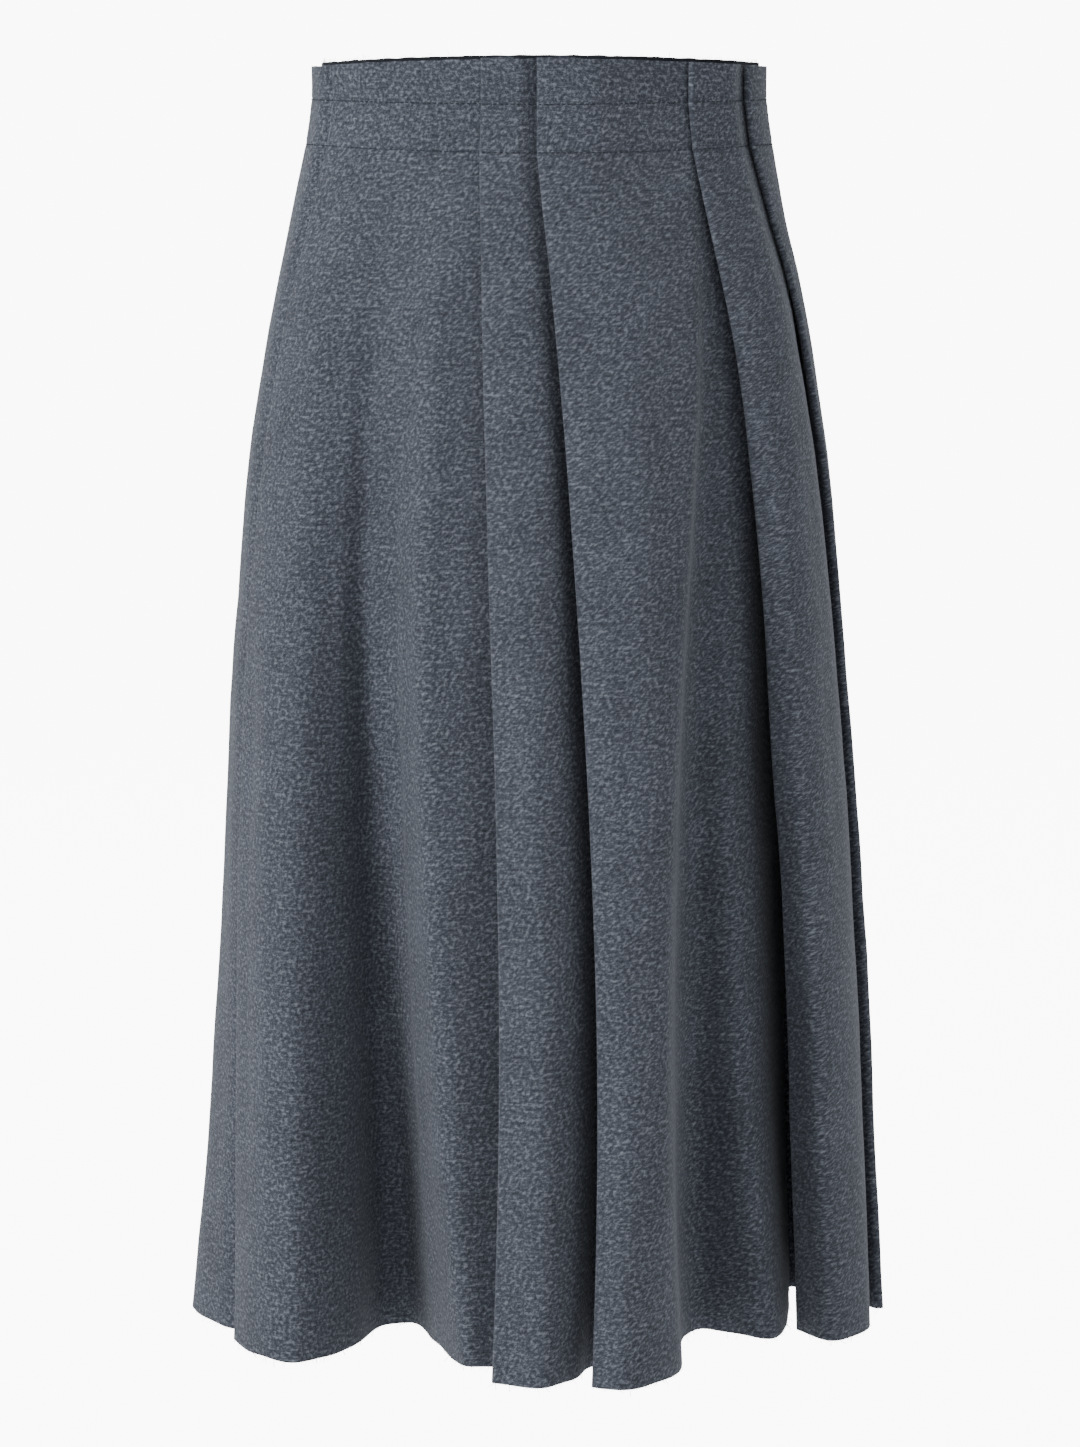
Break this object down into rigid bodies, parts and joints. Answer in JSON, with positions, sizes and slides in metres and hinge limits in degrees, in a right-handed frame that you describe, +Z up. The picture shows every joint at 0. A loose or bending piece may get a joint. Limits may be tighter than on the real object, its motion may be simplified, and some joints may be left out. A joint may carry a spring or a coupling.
{
  "type": "pleated midi skirt",
  "caption": "Flared midi skirt with paired knife pleats stitched flat round a high waist and hanging open in deep flutes to a raw hem.",
  "frame": {"origin": "middle of the waist, level with the upper row of stitching, where the wearer's waist holds the skirt", "axes": "+Z up, -Y to the front of the skirt, +X to the right of the front view"},
  "size_m": [0.4382, 0.3642, 0.7855],
  "materials": {
    "wool_blue_grey": "milled wool flannel, blue-grey heather with light fibres and dark flecks",
    "edge_tape_dark": "matt near-black woven tape",
    "hook_steel": "stamped steel"
  },
  "bodies": {
    "root": {"front_panel": "wool_blue_grey", "back_panel": "wool_blue_grey", "edge_tape": "edge_tape_dark", "waist_hook": "hook_steel", "waist_bar": "hook_steel"}
  },
  "joints": []
}
